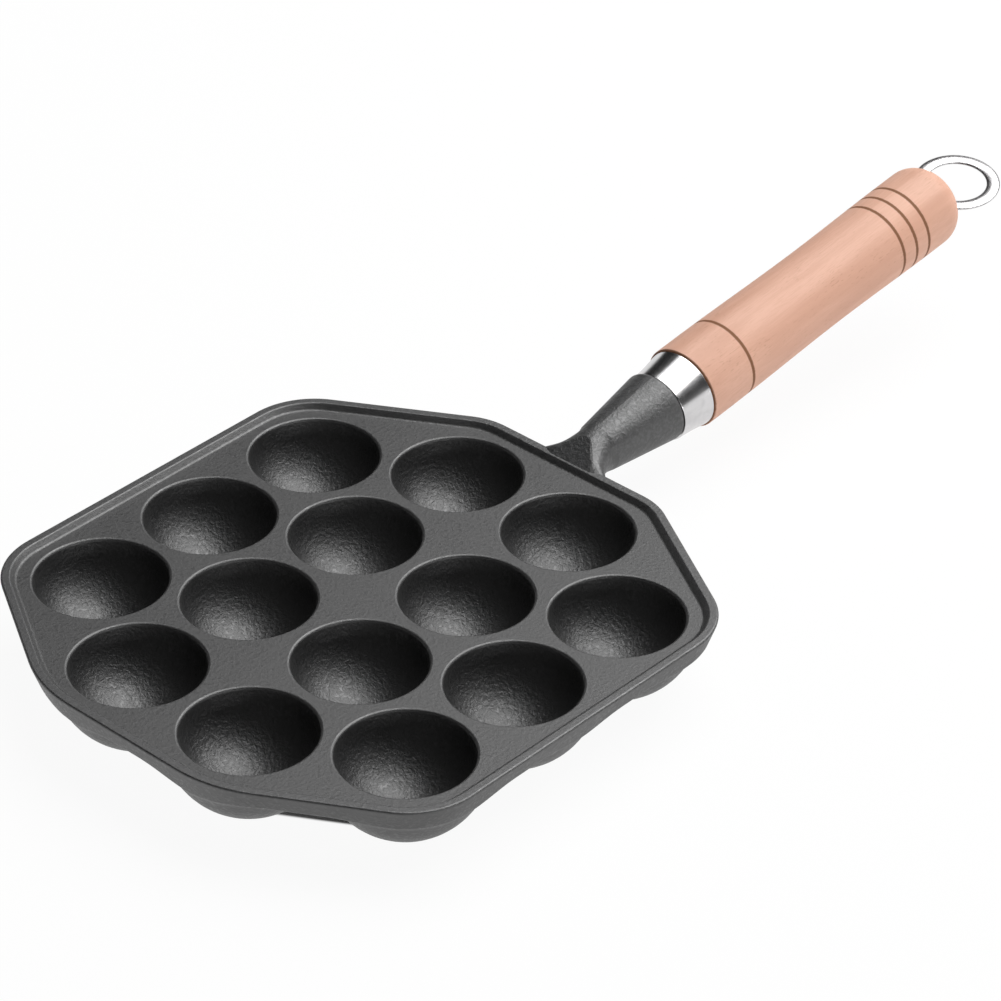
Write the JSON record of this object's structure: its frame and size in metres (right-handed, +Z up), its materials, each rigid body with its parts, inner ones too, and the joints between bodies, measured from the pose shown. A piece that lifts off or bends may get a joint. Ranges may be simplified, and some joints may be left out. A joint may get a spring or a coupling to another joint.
{
  "type": "takoyaki pan",
  "caption": "Hand-held cast-iron takoyaki pan with round cups in a low-rimmed plate, a cast neck, a bright ferrule, a turned wooden grip and a hanging ring.",
  "frame": {"origin": "centre of the plate's top face, between the two middle rows of cups", "axes": "+X out along the handle, +Z up out of the cups, +Y across the pan"},
  "size_m": [0.384, 0.176, 0.0545],
  "materials": {
    "cast_iron": "sand-cast, seasoned dark grey, matt to satin",
    "bright_steel": "bright plated steel",
    "beech": "smooth turned beech, clear finish, burnt lines",
    "plain_steel": "plain machined steel",
    "ring_steel": "polished steel"
  },
  "bodies": {
    "pan": {"pan_casting": "cast_iron", "ferrule": "bright_steel", "grip": "beech", "eye_bolt": "plain_steel", "seat_washer": "plain_steel"},
    "ring": {"hanging_ring": "ring_steel"}
  },
  "joints": [
    {"name": "ring_swing", "type": "hinge", "parent": "pan", "child": "ring", "pos_m": [0.26592, 0.00012, 0.01757], "axis": [-0.0115, 0.9954, 0.0952], "range_deg": [-80, 80]}
  ]
}
